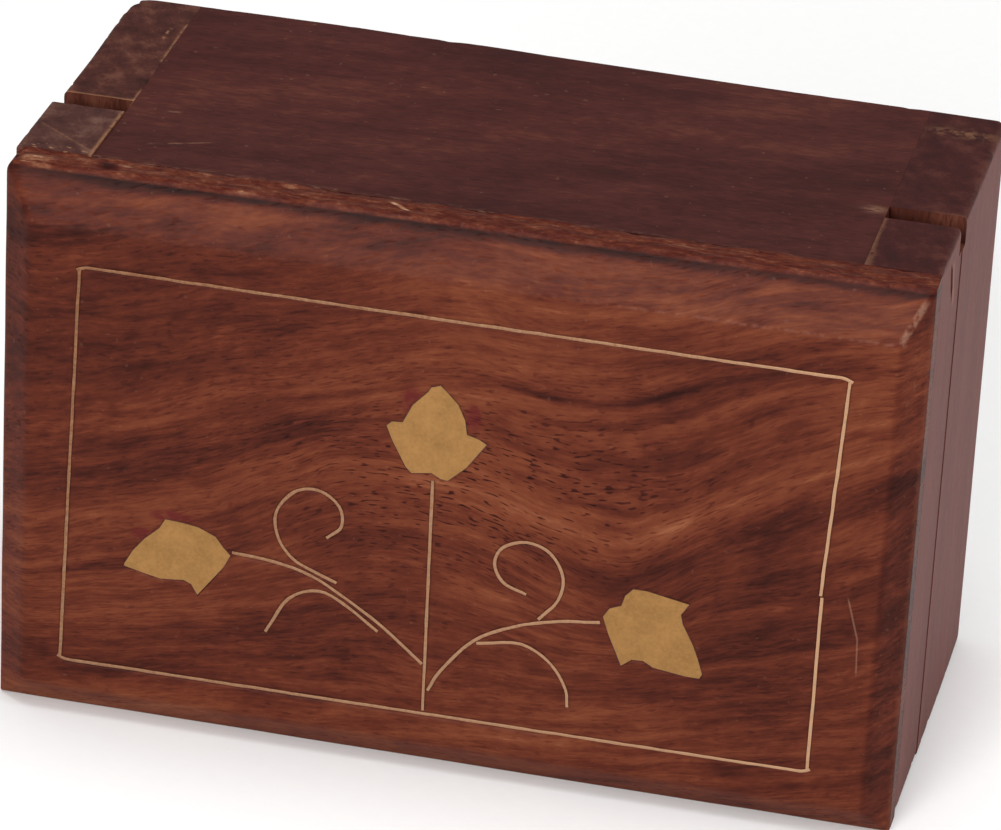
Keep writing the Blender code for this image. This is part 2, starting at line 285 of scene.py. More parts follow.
def loft(name, rings):
    """A closed solid through rings of points, all with the same number of points."""
    bm = bmesh.new()
    rings = [[bm.verts.new(point) for point in ring] for ring in rings]
    for here, there in zip(rings, rings[1:]):
        for i in range(len(here)):
            j = (i + 1) % len(here)
            bm.faces.new([here[i], here[j], there[j], there[i]])
    bm.faces.new(rings[0])
    bm.faces.new(rings[-1])
    return object_from_solid(name, bm)


def worn_board(name, body, low, high, cells):
    """A board with sharp seams, and with the body's outer edges rounded and dented by use."""
    low, high = np.array(low), np.array(high)
    points, quads = box_shell(low, high, cells)
    shell_low, shell_high = body_box(body)
    outer = edge_distance(points, shell_low, shell_high)
    inward = (shell_low + shell_high) / 2 - points
    inward /= np.abs(inward).max(axis=1)[:, None]
    dents = np.clip(value_noise(points, 1.6, 6) - 0.35, 0.0, None)
    dents *= np.clip(1.0 - outer / (1.1 * MM), 0.0, 1.0)
    hollows = 0.5 * value_noise(points, 14, 7) + 0.5
    shaped = eased(points, low, high, np.full(len(points), SEAM_ROUND))
    shaped = rounded_outside(shaped, shell_low, shell_high)
    shaped += inward * (dents * CHIP_DEPTH + hollows * HOLLOW_DEPTH)[:, None]
    return object_from_quads(name, raised_corner(rounded_corners(shaped)), quads)


def cut(obj, cutter):
    boolean = obj.modifiers.new(cutter.name, "BOOLEAN")
    boolean.operation = "DIFFERENCE"
    boolean.solver = "MANIFOLD"
    boolean.material_mode = "TRANSFER"
    boolean.object = cutter


def settled(obj, helpers=()):
    """Apply the object's modifiers, drop the cutters, and shade it smooth between sharp edges."""
    graph = bpy.context.evaluated_depsgraph_get()
    mesh = bpy.data.meshes.new_from_object(obj.evaluated_get(graph))
    obj.modifiers.clear()
    obj.data = mesh
    mesh.shade_smooth()
    mesh.set_sharp_from_angle(angle=SHARP_EDGE)
    for helper in helpers:
        bpy.data.objects.remove(helper, do_unlink=True)
    return obj


def rough_block(name, low, high, seed):
    """A cutter whose faces are as ragged as a saw leaves them."""
    points, quads = box_shell(np.array(low), np.array(high), (0.7, 0.7, 0.7))
    for axis in range(3):
        points[:, axis] += SAW_ROUGHNESS * value_noise(points, 1.3, seed + axis)
    return object_from_quads(name, points, quads)


def prism(name, outline, bottom, top):
    """A solid from an (x, y) outline, standing between two heights."""
    return loft(name, [[(x, y, z) for x, y in outline] for z in (bottom, top)])


def centreline(node):
    """The (x, z) points down the middle of an inlaid wire, read from its solid from end to end."""
    corners = {
        (round(v.co.x, 6), round(v.co.z, 6))
        for v in NODES[node].data.vertices
        if v.co.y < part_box(node)[0].y + 0.1 * MM
    }
    corners = np.array(sorted(corners))
    away = np.linalg.norm(corners[:, None] - corners[None], axis=2)
    np.fill_diagonal(away, 1.0)
    middles = (corners + corners[away.argmin(axis=1)]) / 2
    middles = np.unique(np.round(middles, 6), axis=0)
    chains = []
    for start in range(len(middles)):
        left = list(range(len(middles)))
        chain = [left.pop(start)]
        while left:
            steps = [np.linalg.norm(middles[i] - middles[chain[-1]]) for i in left]
            chain.append(left.pop(int(np.argmin(steps))))
        path = middles[chain]
        chains.append((np.linalg.norm(np.diff(path, axis=0), axis=1).sum(), start, path))
    return min(chains, key=lambda chain: chain[:2])[2]


def resampled(path, run_on):
    """The path with evenly spaced points, run on a little at both ends."""
    ends = [path[0] - path[1], path[-1] - path[-2]]
    ends = [end / np.linalg.norm(end) * run_on for end in ends]
    path = np.vstack([path[0] + ends[0], path[1:-1], path[-1] + ends[1]])
    run = np.concatenate([[0.0], np.cumsum(np.linalg.norm(np.diff(path, axis=0), axis=1))])
    at = np.linspace(0.0, run[-1], max(3, round(run[-1] / WIRE_STEP) + 1))
    return np.column_stack([np.interp(at, run, path[:, i]) for i in range(2)])


def ribbon(name, path, half_width, front, edge, back):
    """A strip standing on edge along an (x, z) path, its front a little crowned."""
    along = np.gradient(path, axis=0)
    along /= np.linalg.norm(along, axis=1)[:, None]
    side = np.column_stack([-along[:, 1], along[:, 0]])
    lines = []
    for reach, depth in [(-1.0, back), (-1.0, edge), (0.0, front), (1.0, edge), (1.0, back)]:
        flat = path + side * (reach * half_width)[:, None]
        lines.append(np.column_stack([flat[:, 0], np.full(len(flat), depth), flat[:, 1]]))
    return loft(name, np.stack(lines, axis=1))


def welded_copy(node, outset=0.0, front=None, back=None):
    """An inlay piece's solid as one closed mesh, its sides moved out and its two faces moved."""
    bm = bmesh.new()
    bm.from_mesh(NODES[node].data)
    bmesh.ops.remove_doubles(bm, verts=bm.verts, dist=0.001 * MM)
    bmesh.ops.recalc_face_normals(bm, faces=bm.faces)
    bm.normal_update()
    low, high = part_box(node)
    moves = []
    for vert in bm.verts:
        sides = [face.normal for face in vert.link_faces if abs(face.normal.y) < 0.5]
        middle = sum(sides, Vector()).normalized()
        moves.append(middle * outset / max(0.4, min(middle.dot(side) for side in sides)))
    for vert, move in zip(bm.verts, moves):
        level = front if vert.co.y < (low.y + high.y) / 2 else back
        vert.co += move
        if level is not None:
            vert.co.y = level
    return object_from_solid(node + "_copy", bm)


# Materials


class Field:
    """A value that a material works out at each point, written as plain arithmetic."""

    def __init__(self, socket):
        self.socket = socket

    def node(self, kind):
        return self.socket.id_data.nodes.new("ShaderNode" + kind)

    def math(self, operation, *values):
        node = self.node("Math")
        node.operation = operation
        for slot, value in zip(node.inputs, values):
            put(slot, value)
        return Field(node.outputs[0])

    def __add__(self, other):
        return self.math("ADD", self, other)

    def __sub__(self, other):
        return self.math("SUBTRACT", self, other)

    def __rsub__(self, other):
        return self.math("SUBTRACT", other, self)

    def __mul__(self, other):
        return self.math("MULTIPLY", self, other)

    def __truediv__(self, other):
        return self.math("DIVIDE", self, other)

    __radd__ = __add__
    __rmul__ = __mul__

    def least(self, other):
        return self.math("MINIMUM", self, other)

    def most(self, other):
        return self.math("MAXIMUM", self, other)

    def size(self):
        return self.math("ABSOLUTE", self)

    def clamped(self):
        return self.most(0.0).least(1.0)

    def bell(self, middle, width):
        """1 at the middle, falling to nothing a few widths away."""
        away = (self - middle) / width
        squared = away * away * -1.0
        return squared.math("EXPONENT", squared)

    def step(self, start, end):
        """0 before start, 1 after end, and smooth between."""
        node = self.node("MapRange")
        node.interpolation_type = "SMOOTHSTEP"
        for slot, value in zip(node.inputs, (self, start, end, 0.0, 1.0)):
            put(slot, value)
        return Field(node.outputs[0])

    def before(self, start, end):
        return 1.0 - self.step(start, end)

    def within(self, start, end, soft):
        """1 from start to end, and 0 outside."""
        return self.step(start - soft, start + soft) * self.before(end - soft, end + soft)

    def curve(self, points):
        """A smooth curve through (input, output) points."""
        node = self.node("FloatCurve")
        ins, outs = zip(*points)
        first, width = ins[0], ins[-1] - ins[0]
        lowest, height = min(outs), max(outs) - min(outs)
        shape = node.mapping.curves[0]
        while len(shape.points) < len(points):
            shape.points.new(0.5, 0.5)
        for point, (here, there) in zip(shape.points, points):
            point.location = (here - first) / width, (there - lowest) / height
        node.mapping.update()
        put(node.inputs["Value"], (self - first) / width)
        return Field(node.outputs[0]) * height + lowest


def put(slot, value):
    if isinstance(value, Field):
        slot.id_data.links.new(value.socket, slot)
    else:
        slot.default_value = value


def noise(x, y, z, detail=2.0, roughness=0.5):
    place, node = x.node("CombineXYZ"), x.node("TexNoise")
    for slot, value in zip(place.inputs, (x, y, z)):
        put(slot, value)
    put(node.inputs["Vector"], Field(place.outputs[0]))
    node.inputs["Scale"].default_value = 1.0
    node.inputs["Detail"].default_value = detail
    node.inputs["Roughness"].default_value = roughness
    return Field(node.outputs["Fac"])


def ramp(field, stops):
    node = field.node("ValToRGB")
    elements = node.color_ramp.elements
    while len(elements) < len(stops):
        elements.new(0.5)
    for element, (position, colour) in zip(elements, stops):
        element.position = position
        element.color = (*colour, 1.0)
    put(node.inputs["Fac"], field)
    return Field(node.outputs["Color"])


def mix(factor, first, second):
    """A colour: the first where the factor is 0, and the second where it is 1."""
    node = factor.node("Mix")
    node.data_type = "RGBA"
    put(node.inputs[0], factor)
    for slot, value in zip((node.inputs[6], node.inputs[7]), (first, second)):
        put(slot, value if isinstance(value, Field) else (*value, 1.0))
    return Field(node.outputs[2])


def scratch(u, v, start, end, width):
    """A thin straight mark from start to end in the plane of u and v."""
    run = Vector(end) - Vector(start)
    length = run.length
    run.normalize()
    du, dv = u - start[0], v - start[1]
    along = du * run.x + dv * run.y
    off = (du * run.y - dv * run.x).size()
    return off.before(width * 0.3, width) * along.within(0.0, length, 0.5)


class Finish:
    """A material with its shader and the place of each point in it, in millimetres."""

    def __init__(self, name):
        self.material = bpy.data.materials.new(name)
        self.material.use_nodes = True
        self.tree = self.material.node_tree
        self.shader = self.tree.nodes["Principled BSDF"]
        coordinates = self.tree.nodes.new("ShaderNodeTexCoord")
        scaled = self.tree.nodes.new("ShaderNodeVectorMath")
        scaled.operation = "SCALE"
        scaled.inputs["Scale"].default_value = 1 / MM
        self.tree.links.new(coordinates.outputs["Object"], scaled.inputs[0])
        split = self.tree.nodes.new("ShaderNodeSeparateXYZ")
        self.tree.links.new(scaled.outputs[0], split.inputs[0])
        self.x, self.y, self.z = (Field(out) for out in split.outputs)

    def set(self, name, value):
        put(self.shader.inputs[name], value)

    def made(self, colour, roughness, specular=0.5):
        """The finished material."""
        self.set("Base Color", colour)
        self.set("Roughness", roughness)
        self.set("Specular IOR Level", specular)
        return self.material

    def relief(self, height, depth, strength=1.0):
        """Bump from a height of 0 to 1 that stands for the depth in metres."""
        node = self.tree.nodes.new("ShaderNodeBump")
        node.inputs["Strength"].default_value = strength
        node.inputs["Distance"].default_value = depth
        put(node.inputs["Height"], height)
        self.set("Normal", Field(node.outputs["Normal"]))

    def even_noise(self, scale, detail, roughness=0.5):
        """Noise that is the same in all directions."""
        return noise(self.x * scale, self.y * scale, self.z * scale, detail, roughness)

    def edge(self, low, high):
        """How far a point on a box's surface is from the box's nearest edge."""
        low, high = Vector(low) / MM, Vector(high) / MM
        a, b, c = (
            (place - low[i]).least(high[i] - place)
            for i, place in enumerate((self.x, self.y, self.z))
        )
        return a.least(b).most(a.most(b).least(c))


class Wood(Finish):
    """Wood with its grain along one direction, as bands, figure, streaks, fibres and pores."""

    def __init__(self, name, grain, stops, shift=0.0, contrast=1.0, dashes=0.3):
        super().__init__(name)
        a, b, c = grain(self)
        self.level = b
        self.bands = noise(a * 0.006 + shift, b * 0.085, c * 0.085, 1.0) - 0.5
        self.figure = noise(a * 0.03 + shift, b * 0.33, c * 0.33, 2.0, 0.6) - 0.5
        self.streaks = noise(a * 0.11 + shift, b * 1.15, c * 1.15, 3.0, 0.65) - 0.5
        self.fibres = noise(a * 0.55, b * 3.1, c * 3.1, 2.0, 0.6) - 0.5
        mottle = noise(a * 0.30 + shift, b * 0.45, c * 0.45, 3.0, 0.6) - 0.5
        dash = noise(a * 0.75 + shift, b * 3.6, c * 3.6, 0.0)
        crowd = noise(a * 0.03, b * 0.3, c * 0.3, 1.0) - 0.5
        self.pores = (dash + crowd * 0.30).step(0.63, 0.75)
        self.dashes = dashes
        self.stops = stops
        self.tone = 0.5 + contrast * (
            self.bands * 0.55
            + self.figure * 0.75
            + self.streaks * 0.60
            + self.fibres * 0.42
            + mottle * 0.40
        )

    def colour(self, tone, dashes=None):
        shade = self.pores * (self.dashes if dashes is None else dashes)
        return ramp((tone - shade * 0.55).clamped(), self.stops)

    def feel(self, depth, strength, extra=0.0):
        """The relief of open grain."""
        self.relief(self.fibres * 0.6 + self.streaks * 0.5 - self.pores * 0.7 + extra, depth, strength)


# How far the panel's grain stands above its height at the middle, in mm, low, halfway up and high
GRAIN_LOW = [(-56, -7.0), (-46, -6.2), (-26, -3.2), (-11, -0.8), (-1, 0.0), (11, 0.7), (25, 2.2),
             (44, 6.6), (56, 10.6)]
GRAIN_HALFWAY = [(-56, -17.2), (-46, -14.2), (-30, -8.0), (-19, -3.2), (-8, 0.5), (0, 0.0),
                 (8, -2.2), (14, -4.1), (20, -5.0), (25, -3.0), (32, 2.0), (39, 6.0), (46, 9.5),
                 (56, 15.0)]
GRAIN_HIGH = [(-56, -17.8), (-46, -14.8), (-27, -8.5), (-8, -2.2), (0, 0.0), (13, -1.0),
              (18, -0.4), (37, 6.0), (50, 10.0), (56, 11.7)]


# A dark vein that sags to the right of the bud, as (x, z) in mm
VEIN = [(-4, 53.0), (8, 52.2), (14, 51.6), (19, 51.9), (25, 53.9), (31, 57.0), (36, 60.0)]


def panel_grain(wood):
    """Flat-sawn grain: it climbs to the right, over a crest, and dips beside a knot."""
    x, z = wood.x, wood.z
    low, halfway, high = (x.curve(points) for points in (GRAIN_LOW, GRAIN_HALFWAY, GRAIN_HIGH))
    sway = (noise(x * 0.045, z * 0.06, wood.y * 0.05, 2.0) - 0.5) * 4.0
    level = z
    for _ in range(2):
        rising = low + (halfway - low) * level.step(12.0, 33.0)
        rising = rising + (high - rising) * level.step(38.0, 53.0)
        level = z - rising * (1.0 - level.step(50.0, 86.0) * 0.55)
    return x, level + sway, wood.y * 0.4


# The panel's colours, from its darkest grain to its palest
PANEL_SHADES = [
    (0.0, (0.016, 0.0038, 0.003)),
    (0.28, (0.042, 0.0088, 0.0056)),
    (0.50, (0.086, 0.018, 0.0095)),
    (0.72, (0.139, 0.036, 0.0155)),
    (1.0, (0.220, 0.076, 0.036)),
]
TOP_EDGE_SHADES = [
    (0.20, (0.026, 0.005, 0.004)),
    (0.45, (0.066, 0.012, 0.007)),
    (0.62, (0.108, 0.027, 0.014)),
    (0.78, (0.205, 0.085, 0.045)),
    (0.95, (0.400, 0.240, 0.145)),
]
LAC_STAIN = (0.085, 0.010, 0.011)
PANEL_RUBBED = (0.17, 0.065, 0.040)
ARRIS_RUBBED = (0.26, 0.11, 0.075)
# Pale colour for scratches and specks, and for the painted highlight along the mitre
PANEL_SCRATCH_AND_HIGHLIGHT = (0.30, 0.16, 0.11)

# Scratches on the panel, as (x, z) from and to, and width in mm
PANEL_SCRATCHES = (((48.2, 31.5), (49.6, 26.5), 0.16), ((49.6, 26.5), (49.8, 22.0), 0.14))
# A painted highlight along the mitre between the top and right bevels: (x, z) from and to, and width in
# mm
PANEL_MITRE_HIGHLIGHT = ((53.9, 69.3), (51.7, 64.7), 0.6)

# Lighter and darker patches of the panel: x and its width, z and its width in mm, and how light
PATCHES = (
    (-14.0, 12.0, 17.0, 9.0, -0.06),
    (15.0, 6.0, 25.8, 2.6, 0.14),
    (31.0, 5.0, 36.0, 2.2, 0.14),
    (46.0, 5.0, 41.0, 4.5, 0.09),
    (18.0, 4.0, 17.5, 2.0, 0.13),
    (-9.0, 7.0, 28.0, 2.8, -0.19),
    (-21.0, 8.0, 44.3, 3.0, -0.13),
    (6.0, 5.0, 48.2, 2.0, -0.10),
)


def panel_light_and_dark(wood):
    """Where the panel is lighter or darker than its grain alone would make it. Part of this is painted
    light: painted shade in the crease under the top edge and on the right bevel, and a painted sheen on
    the top bevel.
    """
    x, z, level = wood.x, wood.z, wood.level
    patchy = noise(x * 0.10, wood.y, z * 0.30, 3.0, 0.6) - 0.5
    vein = z - x.curve(VEIN)
    # painted shade: the right bevel, which faces away from the light, drawn darker
    right_bevel_shade = x.step(51.2, 52.0) * ((x - 51.6) * 2.17 - (z - 64.5)).step(-0.4, 0.4)
    light = (
        x.bell(5.0, 15.0) * 0.06
        + x.bell(3.0, 17.0) * z.within(45.0, 64.0, 5.0) * 0.08
        + x.step(41.0, 49.0) * z.step(30.0, 42.0) * 0.07
        # painted sheen: the top bevel drawn lighter and mottled, where the overhead light catches it
        + z.step(63.0, 66.0) * (x.step(12.0, 30.0) * 0.08 + patchy * 0.45 + 0.02)
        + level.bell(38.7, 2.0) * x.step(-14.0, 0.0) * 0.09
        - level.bell(33.3, 1.5) * x.step(4.0, 20.0) * 0.20
        - level.bell(48.0, 3.0) * x.before(-12.0, -2.0) * 0.06
        - x.bell(39.0, 7.0) * z.before(36.0, 46.0) * 0.08
        - x.before(-44.0, -22.0) * z.bell(54.0, 12.0) * 0.06
        + x.step(-16.0, -8.0) * z.bell(63.3, 1.6) * 0.13
        - x.before(-24.0, -16.0) * z.bell(63.8, 2.6) * 0.07
        + z.before(4.5, 7.5) * x.size().step(18.0, 36.0) * 0.13
        - vein.bell(0.0, 0.5) * x.within(7.0, 30.0, 4.0) * 0.30
        - vein.bell(-3.0, 0.7) * x.within(4.0, 36.0, 5.0) * 0.14
        # painted shade: a dark line in the crease between the top edge and the top bevel
        - z.bell(70.2, 0.75) * (0.38 + x.within(-46.0, 30.0, 4.0) * 0.14)
        # painted shade on the right bevel
        - right_bevel_shade * 0.13
    )
    for across, width, up, height, lighter in PATCHES:
        light = light + x.bell(across, width) * z.bell(up, height) * lighter
    return light


def panel_wood():
    wood = Wood("panel_sheesham", panel_grain, PANEL_SHADES, contrast=0.84)
    x, y, z = wood.x, wood.y, wood.z
    knot = x.bell(4.0, 20.0) * z.bell(39.0, 9.0)
    flat = z.before(63.5, 65.5)
    tone = wood.tone + panel_light_and_dark(wood)
    colour = wood.colour(tone, (0.18 + knot * 0.85) * flat)
    colour = mix(lac_stain(wood) * 0.8, colour, LAC_STAIN)
    rub = wood.even_noise(0.9, 4.0, 0.65)
    edge = wood.edge(PANEL_LOW + Vector((0.0, BEVEL_DEPTH, 0.0)), PANEL_HIGH)
    worn = (1.0 - (edge + (rub - 0.5) * 2.0).step(0.0, 0.6)) * z.before(66.0, 69.0)
    colour = mix(worn * 0.22, colour, PANEL_RUBBED)
    colour = mix(z.step(70.1, 70.5), colour, top_band_colour(wood))
    colour = mix(arris_wear(wood, rub), colour, ARRIS_RUBBED)
    specks = wood.even_noise(1.6, 0.0).step(0.78, 0.84)
    scratches = sum(scratch(x, z, *each) for each in PANEL_SCRATCHES)
    # painted highlight: a bright line along the mitre between the top and right bevels
    mitre_highlight = scratch(x, z, *PANEL_MITRE_HIGHLIGHT) * rub.step(0.35, 0.60) * 1.5
    marks = (scratches + mitre_highlight) * 0.30 + specks * 0.08
    colour = mix(marks.clamped(), colour, PANEL_SCRATCH_AND_HIGHLIGHT)
    wood.feel(0.03 * MM, 0.25)
    return wood.made(colour, 0.44 + wood.streaks * 0.15 + wood.pores * 0.15 + worn * 0.2, 0.05)


def arris_wear(wood, rub):
    """Where the edge between the panel's face and its top bevel has been rubbed pale."""
    arris = (wood.z - (PANEL_HIGH.z - BEVEL_TOP) / MM + (rub - 0.5) * 0.3).bell(0.05, 0.22)
    front = PANEL_LOW.y / MM
    arris = arris * wood.y.within(front - 1.0, front + 0.5, 0.1)
    return arris * (0.06 + wood.x.step(0.0, 34.0) * 0.2) * rub.step(0.40, 0.62)


def lac_stain(wood):
    """Red lac that was smeared into the wood beside the leaves."""
    x, z = wood.x, wood.z
    patchy = noise(x * 0.9, wood.y, z * 0.9, 3.0, 0.6).step(0.35, 0.6)
    total = None
    for node, across, up, width, height in (
        ("bud_leaf", 0.24, 0.78, 1.4, 2.4),
        ("bud_leaf", 0.86, 0.70, 1.0, 2.2),
        ("left_leaf", 0.42, 1.05, 3.2, 0.9),
        ("left_leaf", 0.18, 0.75, 1.9, 0.9),
        ("right_leaf", 0.85, 0.10, 0.9, 1.4),
    ):
        low, high = (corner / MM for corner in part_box(node))
        patch = x.bell(low.x + (high.x - low.x) * across, width)
        patch = patch * z.bell(low.z + (high.z - low.z) * up, height)
        total = patch if total is None else total.most(patch)
    return total.step(0.25, 0.80) * (0.35 + patchy * 0.65)


def top_band_colour(wood):
    """The panel's top edge: torn and rubbed, palest at the left end and near the case, with painted
    shade along its front arris.
    """
    x, y, z = wood.x, wood.y, wood.z
    back = PANEL_HIGH.y / MM
    torn = noise(x * 0.30, y * 1.1, z, 4.0, 0.68) - 0.5
    fine = noise(x * 1.1, y * 2.6, z, 3.0, 0.6) - 0.5
    left = 1.0 - x.step(-45.0, 8.0)
    pale = 0.46 + torn * 0.95 + fine * 0.5 + left * 0.07 + y.bell(back - 1.6, 1.3) * 0.07
    pale = pale + x.before(-50.5, -49.0) * y.bell(back - 2.6, 0.8) * x.step(-54.0, -53.0) * 0.20
    chip = (x + y * 0.2).bell(-47.6, 1.1) * y.bell(back - 1.9, 0.8)
    splinter = scratch(x, y, (-9.4, back - 1.2), (-6.6, back - 2.6), 0.35)
    # painted shade: darker along the front of the top edge, where it rounds down into the crease
    pale = pale - y.before(back - 4.9, back - 4.1) * 0.20
    return ramp((pale - chip * 0.5 + splinter * 0.4).clamped(), TOP_EDGE_SHADES)


CASE_SHADES = [
    (0.0, (0.020, 0.003, 0.003)),
    (0.35, (0.038, 0.006, 0.0048)),
    (0.65, (0.060, 0.0115, 0.0085)),
    (1.0, (0.110, 0.029, 0.017)),
]
CASE_RUBBED = (0.20, 0.095, 0.058)

# Scratches on the top board, as (x, y) from and to, and width in mm
CASE_SCRATCHES = (
    ((-40.6, -14.3), (-36.8, -13.0), 0.30),
    ((-36.8, -13.0), (-33.6, -11.6), 0.22),
    ((-41.0, -4.4), (-39.6, -4.3), 0.35),
)


def case_wood():
    """The long boards: dark and even, scuffed on top along the lid."""
    wood = Wood(
        "case_sheesham",
        lambda w: (w.x, w.y + w.z - w.x * 0.05, w.z - w.y * 0.3),
        CASE_SHADES,
        shift=3.7,
        contrast=0.6,
        dashes=0.15,
    )
    x, y, z = wood.x, wood.y, wood.z
    ripple = noise(x * 0.04 - y * 0.07, y * 0.03 + x * 0.015, z * 0.05, 2.0) - 0.5
    mottle = noise(x * 0.35 - y * 0.1, y * 0.45, z * 0.4, 3.0, 0.6) - 0.5
    colour = wood.colour(wood.tone + ripple * 0.9 + mottle * 0.45 + wood.fibres * 0.5)
    front = PANEL_HIGH.y / MM
    rub = noise(x * 0.5, y * 1.4, z * 1.4, 4.0, 0.7)
    lip = (y - front).before(0.1, 1.3) * (1.0 - x.step(5.0, 30.0) * 0.6) * rub.step(0.48, 0.66)
    torn = x.bell(44.3, 1.3) * y.bell(-4.3, 0.9) * rub.step(0.36, 0.50)
    scratches = sum(scratch(x, y, *each) for each in CASE_SCRATCHES) * rub.step(0.38, 0.55)
    specks = wood.even_noise(1.3, 0.0).step(0.79, 0.85) * 0.25
    pale = z.step(70.0, 70.4) * (lip * 0.45 + torn * 0.8 + scratches * 0.5) + specks
    colour = mix(pale.clamped(), colour, CASE_RUBBED)
    wood.feel(0.025 * MM, 0.25)
    return wood.made(colour, 0.52 + wood.streaks * 0.15, 0.10)


UPRIGHT_SHADES = [
    (0.0, (0.050, 0.010, 0.008)),
    (0.35, (0.086, 0.017, 0.012)),
    (0.65, (0.126, 0.027, 0.018)),
    (1.0, (0.195, 0.060, 0.040)),
]
UPRIGHT_RUBBED = (0.20, 0.09, 0.07)
# Bare wood where marks wear through, and the painted highlight beside the crack
BARE_WOOD_AND_HIGHLIGHT = (0.26, 0.120, 0.060)

# End grain: greyed, brown and dark
END_GREY = [(0.0, (0.024, 0.007, 0.006)), (0.45, (0.064, 0.020, 0.015)), (1.0, (0.150, 0.075, 0.055))]
END_BROWN = [(0.0, (0.016, 0.003, 0.002)), (0.45, (0.056, 0.013, 0.009)), (1.0, (0.150, 0.058, 0.036))]
END_DARK = [(0.0, (0.020, 0.003, 0.003)), (0.45, (0.039, 0.006, 0.005)), (1.0, (0.085, 0.022, 0.015))]


def upright_wood(name, node, shift, ends, marks):
    """A batten or end board: grain upright, with end grain on its top and bottom."""
    wood = Wood(
        name,
        lambda w: (w.z, w.x + w.y * 0.6, w.y - w.x * 0.2),
        UPRIGHT_SHADES,
        shift=shift,
        contrast=0.6,
    )
    x, y, z = wood.x, wood.y, wood.z
    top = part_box(node)[1].z / MM
    blotch = noise(x * 0.30, y * 0.30 + shift, z * 0.1, 3.0, 0.6) - 0.5
    grit = wood.even_noise(2.6, 2.0, 0.7) - 0.5
    rings = noise(x * 0.5 + y * 0.25, y * 0.1, shift, 2.0) - 0.5
    end_grain = ramp((0.45 + blotch * 1.5 + grit * 0.55 + rings * 0.6).clamped(), ends)
    on_end = z.step(top - 0.75, top - 0.25).most(z.before(0.25, 0.75))
    colour = mix(on_end, wood.colour(wood.tone), end_grain)
    rub = wood.even_noise(0.9, 4.0, 0.65)
    worn = 1.0 - (wood.edge(*CAD_BOX) + (rub - 0.5) * 2.2).step(0.1, 1.0)
    colour = mix(worn * 0.14, colour, UPRIGHT_RUBBED)
    # marks: bare wood, and on the right batten a painted highlight beside its crack
    colour = mix(marks(x, y, z, rub).clamped(), colour, BARE_WOOD_AND_HIGHLIGHT)
    wood.feel(0.04 * MM, 0.4, grit * on_end * 0.6)
    return wood.made(colour, 0.55 + wood.streaks * 0.15, 0.11)


def batten_left_marks(x, y, z, rub):
    on_top = z.step(70.0, 70.5)
    seam = x.bell(-46.0 + (rub - 0.5) * 0.5, 0.24) * (rub + 0.06).step(0.35, 0.55) * 0.75
    flecks = noise(x * 0.9, y * 1.4, z, 1.0).step(0.60, 0.68) * y.before(-19.3, -18.0) * 0.9
    line = scratch(x, y, (-54.2, -13.0), (-46.4, -19.0), 0.28) * rub.step(0.3, 0.5) * 0.22
    return on_top * (seam + flecks + line)


def batten_right_marks(x, y, z, rub):
    on_top = z.step(70.0, 70.5)
    width = 0.35 + y.before(-19.0, -13.0) * 0.35
    reach = x - 45.8 + (rub - 0.5) * 1.6
    seam = reach.before(width * 0.3, width * 1.8) * (rub + 0.06).step(0.35, 0.58) * 0.34
    # painted highlight: a pale line along the rear lip of the crack on the outer face
    rim_highlight = scratch(y, z, (-10.9, 68.4), (-8.9, 62.4), 0.7) * x.step(53.0, 53.5) * 0.5
    return on_top * seam + rim_highlight * (1.0 - on_top)


def end_left_marks(x, y, z, rub):
    on_top = z.step(69.6, 70.1)
    lip = (y + 3.0).before(0.1, 0.7) * (rub + 0.12).step(0.35, 0.55) * 0.7
    seam = x.bell(-45.9 + (rub - 0.5) * 0.5, 0.2) * (y.within(9.0, 20.5, 0.5) + y.within(-3.0, 0.5, 0.5))
    flecks = scratch(x, y, (-47.6, 15.5), (-47.4, 18.8), 0.35) * rub.step(0.45, 0.60)
    return on_top * (lip + seam * rub.step(0.35, 0.52) * 0.6 + flecks * 0.8)


def end_right_marks(x, y, z, rub):
    on_top = z.step(69.6, 70.1)
    corner = x.bell(50.5, 4.5) * y.bell(21.0, 1.3) * rub.step(0.42, 0.62) * 0.5
    lip = (y + 3.0).before(0.1, 0.9) * x.step(49.0, 54.0) * 0.15
    return on_top * (corner + lip)


SAWN_SHADES = [(0.0, (0.024, 0.006, 0.004)), (0.5, (0.066, 0.016, 0.009)), (1.0, (0.150, 0.050, 0.028))]
RUNNER_SHADES = [(0.0, (0.09, 0.035, 0.018)), (0.5, (0.22, 0.10, 0.05)), (1.0, (0.36, 0.19, 0.10))]


def raw_wood():
    """Wood as the saw left it, inside the mouths, with painted light: lighter near the outer faces,
    where light reaches in, and darker farther in, as painted shade.
    """
    wood = Wood("sawn_wood", lambda w: (w.z, w.x, w.y), SAWN_SHADES, shift=6.1)
    # painted light: lighter near the outer faces of the mouth, with painted shade farther in
    outer = wood.x.size().step(50.0, 51.0)
    wood.feel(0.06 * MM, 0.6)
    return wood.made(wood.colour(wood.tone + outer * 0.12), 0.75 + wood.fibres * 0.2, 0.1)


LAC_SHADES = [(0.35, (0.030, 0.009, 0.008)), (0.7, (0.085, 0.017, 0.014))]
STEEL_SHADES = [(0.4, (0.42, 0.40, 0.38)), (0.65, (0.16, 0.09, 0.06))]
PAPER_SHADES = [(0.0, (0.92, 0.92, 0.92)), (1.0, (0.95, 0.95, 0.95))]
SHEET_BRASS = (0.355, 0.188, 0.066)
WIRE_BRASS = (0.52, 0.305, 0.180)
WIRE_TARNISHED = (0.205, 0.092, 0.048)


